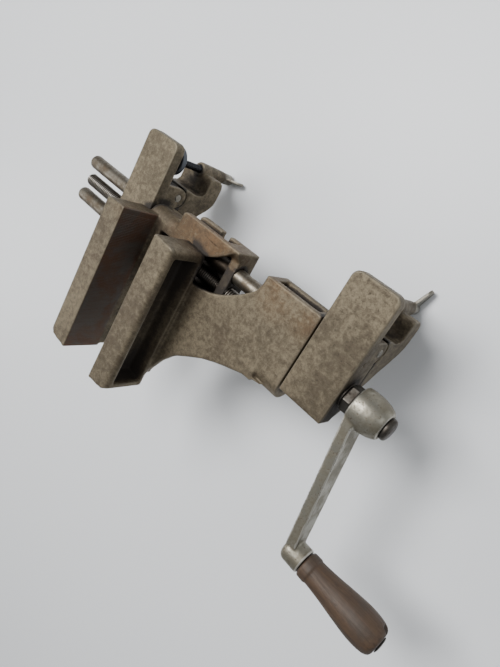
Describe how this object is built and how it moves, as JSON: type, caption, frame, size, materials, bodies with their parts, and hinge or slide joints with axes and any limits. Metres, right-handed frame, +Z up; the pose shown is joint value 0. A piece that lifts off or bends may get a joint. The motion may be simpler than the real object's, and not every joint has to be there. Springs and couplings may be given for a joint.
{
  "type": "table vise",
  "caption": "Portable cast-aluminium bench vise: two long jaws on guide rods, closed by a lead screw and wood-gripped crank, held to a table edge by two swinging screw clamps.",
  "frame": {"origin": "middle of the right clamp block's table face, the underside of its flange, which rests on the table", "axes": "+X along the lead screw towards the crank, +Y in over the table, +Z up"},
  "size_m": [0.4052, 0.1936, 0.1268],
  "materials": {
    "cast_aluminium": "rough sand casting, dull grey with brown grime",
    "polished_aluminium": "cast, edges rubbed bright",
    "rod_steel": "ground bar with brown patina",
    "dark_steel": "blackened, oily",
    "bright_steel": "zinc plated, worn",
    "bronze": "plain bronze",
    "wood": "turned, varnish worn, mid brown"
  },
  "bodies": {
    "frame": {"right_clamp_block": "cast_aluminium", "table_side_rod": "rod_steel", "jaw_side_rod": "rod_steel", "fixed_jaw": "cast_aluminium", "table_side_set_screw": "dark_steel", "jaw_side_set_screw": "dark_steel", "right_pivot_pin": "bright_steel"},
    "moving_jaw": {"moving_jaw": "cast_aluminium", "lead_nut": "bronze"},
    "crank": {"lead_screw": "dark_steel", "thrust_washer": "bright_steel", "screw_collar": "dark_steel", "crank_arm": "polished_aluminium", "crank_nut": "dark_steel", "grip_spindle": "dark_steel"},
    "grip": {"crank_grip": "wood"},
    "left_block": {"left_clamp_block": "cast_aluminium", "left_pivot_pin": "bright_steel"},
    "right_arm": {"right_clamp_arm": "cast_aluminium"},
    "left_arm": {"left_clamp_arm": "cast_aluminium"},
    "right_pad": {"right_clamp_pad": "dark_steel"},
    "left_pad": {"left_clamp_pad": "dark_steel"},
    "right_screw": {"right_clamp_screw": "dark_steel", "right_wing_handle": "bright_steel"},
    "left_screw": {"left_clamp_screw": "dark_steel", "left_wing_handle": "bright_steel"}
  },
  "joints": [
    {"name": "crank_turn", "type": "hinge", "parent": "frame", "child": "crank", "pos_m": [-0.0183, -0.052, -0.0035], "axis": [1, 0, 0], "range_deg": [-4770, 0]},
    {"name": "jaw_travel", "type": "slide", "parent": "frame", "child": "moving_jaw", "axis": [1, 0, 0], "range_m": [0, 0.0266]},
    {"name": "grip_turn", "type": "hinge", "parent": "crank", "child": "grip", "pos_m": [0.0596, -0.1602, -0.0035], "axis": [1, 0, 0], "continuous": true},
    {"name": "left_block_slide", "type": "slide", "parent": "frame", "child": "left_block", "axis": [1, 0, 0], "range_m": [-0.058, 0]},
    {"name": "right_arm_swing", "type": "hinge", "parent": "frame", "child": "right_arm", "pos_m": [0, -0.0217, -0.0148], "axis": [1, 0, 0], "range_deg": [0, 12]},
    {"name": "left_arm_swing", "type": "hinge", "parent": "left_block", "child": "left_arm", "pos_m": [-0.2054, -0.0217, -0.0148], "axis": [1, 0, 0], "range_deg": [0, 12]},
    {"name": "right_pad_travel", "type": "slide", "parent": "right_arm", "child": "right_pad", "axis": [0, 0, 1], "range_m": [-0.017, 0]},
    {"name": "left_pad_travel", "type": "slide", "parent": "left_arm", "child": "left_pad", "axis": [0, 0, 1], "range_m": [-0.017, 0]},
    {"name": "right_screw_turn", "type": "hinge", "parent": "right_pad", "child": "right_screw", "pos_m": [0, 0.003, -0.0635], "axis": [0, 0, 1], "range_deg": [-6130, 0]},
    {"name": "left_screw_turn", "type": "hinge", "parent": "left_pad", "child": "left_screw", "pos_m": [-0.2054, 0.003, -0.0635], "axis": [0, 0, 1], "range_deg": [-6130, 0]}
  ],
  "couplings": [
    {"joint": "jaw_travel", "follows": "crank_turn", "m_per_rad": -0.00031831},
    {"joint": "right_screw_turn", "follows": "right_pad_travel", "rad_per_m": 6283.2},
    {"joint": "left_screw_turn", "follows": "left_pad_travel", "rad_per_m": 6283.2}
  ]
}
